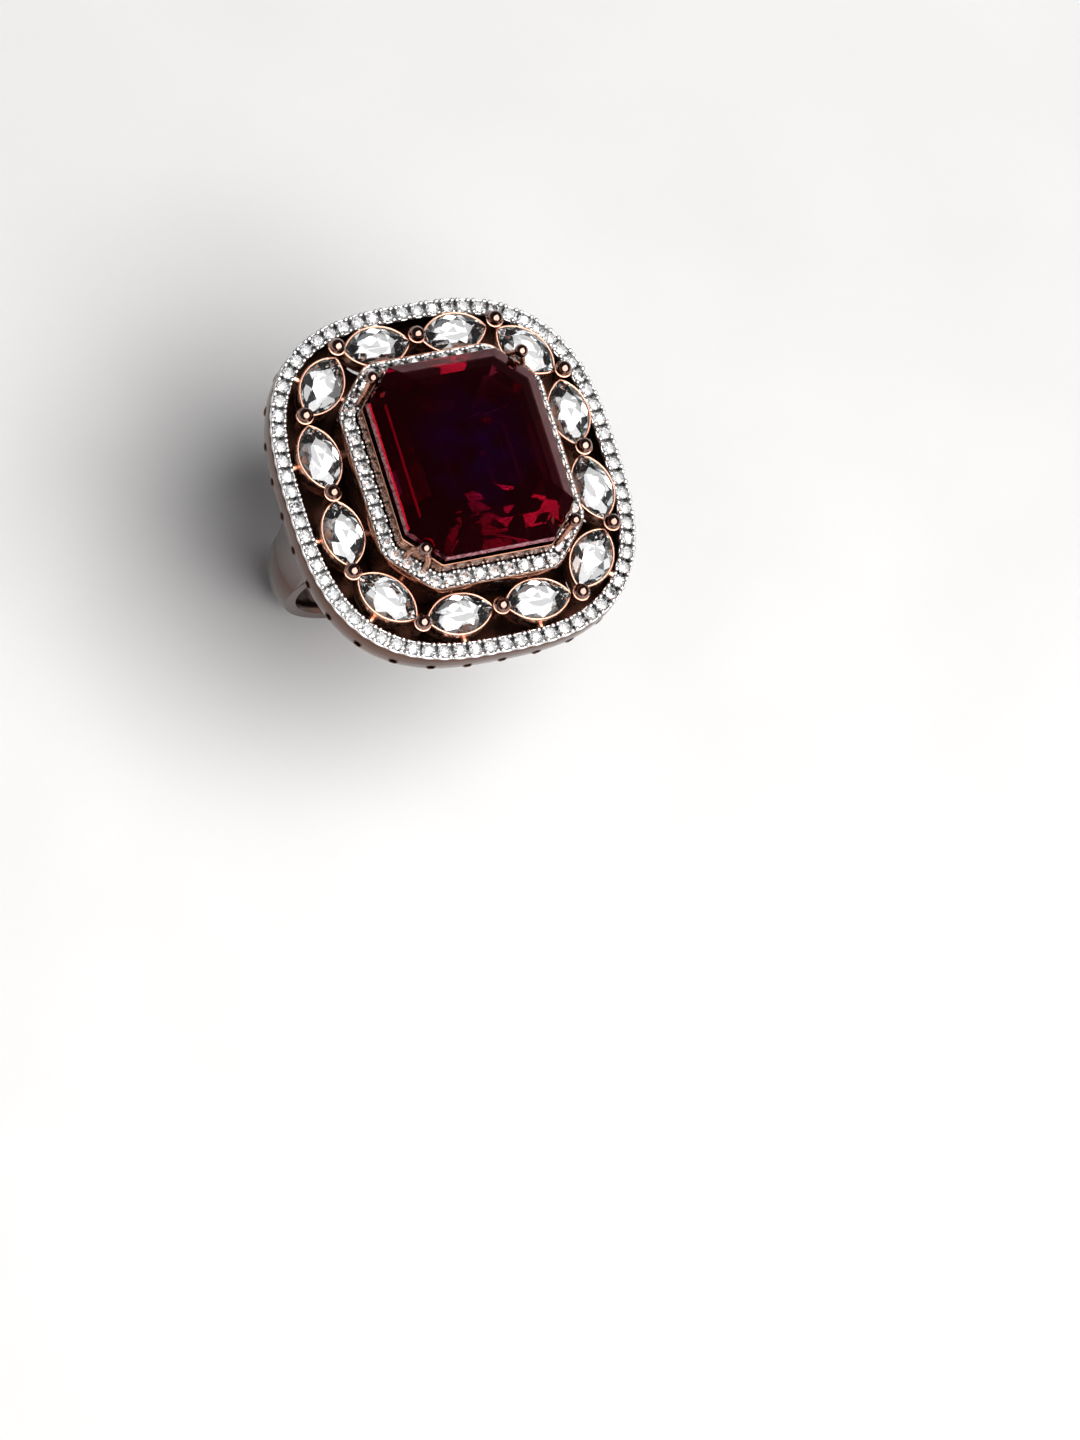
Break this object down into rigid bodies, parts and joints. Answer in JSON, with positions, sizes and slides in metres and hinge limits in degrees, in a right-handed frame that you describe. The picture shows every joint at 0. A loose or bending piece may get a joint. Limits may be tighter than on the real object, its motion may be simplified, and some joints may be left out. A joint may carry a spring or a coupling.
{
  "type": "cocktail ring",
  "caption": "Large cushion-shaped dress ring: a deep red step-cut stone in an octagonal pave halo, a ring of clear marquise stones between gold beads, and a pave outer frame.",
  "frame": {"origin": "centre of the finger hole", "axes": "+Z out of the ring's face, through the centre stone; +Y along the finger, which is the long side of the head; +X across the finger"},
  "size_m": [0.0256, 0.0272, 0.0294],
  "materials": {
    "rose_gold": "polished rose-gold plating",
    "white_metal": "bright white rhodium-like plating",
    "clear_stone": "faceted colourless stone, fully polished",
    "red_stone": "faceted deep red stone, fully polished"
  },
  "bodies": {
    "root": {"shank": "rose_gold", "gallery_base": "rose_gold", "outer_wall": "rose_gold", "outer_rail": "white_metal", "outer_stone_row": "clear_stone", "halo_rail": "white_metal", "halo_wall": "rose_gold", "halo_stone_row": "clear_stone", "centre_seat": "rose_gold", "centre_stone": "red_stone", "claw_1": "rose_gold", "claw_2": "rose_gold", "claw_3": "rose_gold", "claw_4": "rose_gold", "marquise_bezel_01": "rose_gold", "marquise_bezel_02": "rose_gold", "marquise_bezel_03": "rose_gold", "marquise_bezel_04": "rose_gold", "marquise_bezel_05": "rose_gold", "marquise_bezel_06": "rose_gold", "marquise_bezel_07": "rose_gold", "marquise_bezel_08": "rose_gold", "marquise_bezel_09": "rose_gold", "marquise_bezel_10": "rose_gold", "marquise_bezel_11": "rose_gold", "marquise_bezel_12": "rose_gold", "marquise_stone_01": "clear_stone", "marquise_stone_02": "clear_stone", "marquise_stone_03": "clear_stone", "marquise_stone_04": "clear_stone", "marquise_stone_05": "clear_stone", "marquise_stone_06": "clear_stone", "marquise_stone_07": "clear_stone", "marquise_stone_08": "clear_stone", "marquise_stone_09": "clear_stone", "marquise_stone_10": "clear_stone", "marquise_stone_11": "clear_stone", "marquise_stone_12": "clear_stone", "bead_prong_01": "rose_gold", "bead_prong_02": "rose_gold", "bead_prong_03": "rose_gold", "bead_prong_04": "rose_gold", "bead_prong_05": "rose_gold", "bead_prong_06": "rose_gold", "bead_prong_07": "rose_gold", "bead_prong_08": "rose_gold", "bead_prong_09": "rose_gold", "bead_prong_10": "rose_gold", "bead_prong_11": "rose_gold", "bead_prong_12": "rose_gold"}
  },
  "joints": []
}
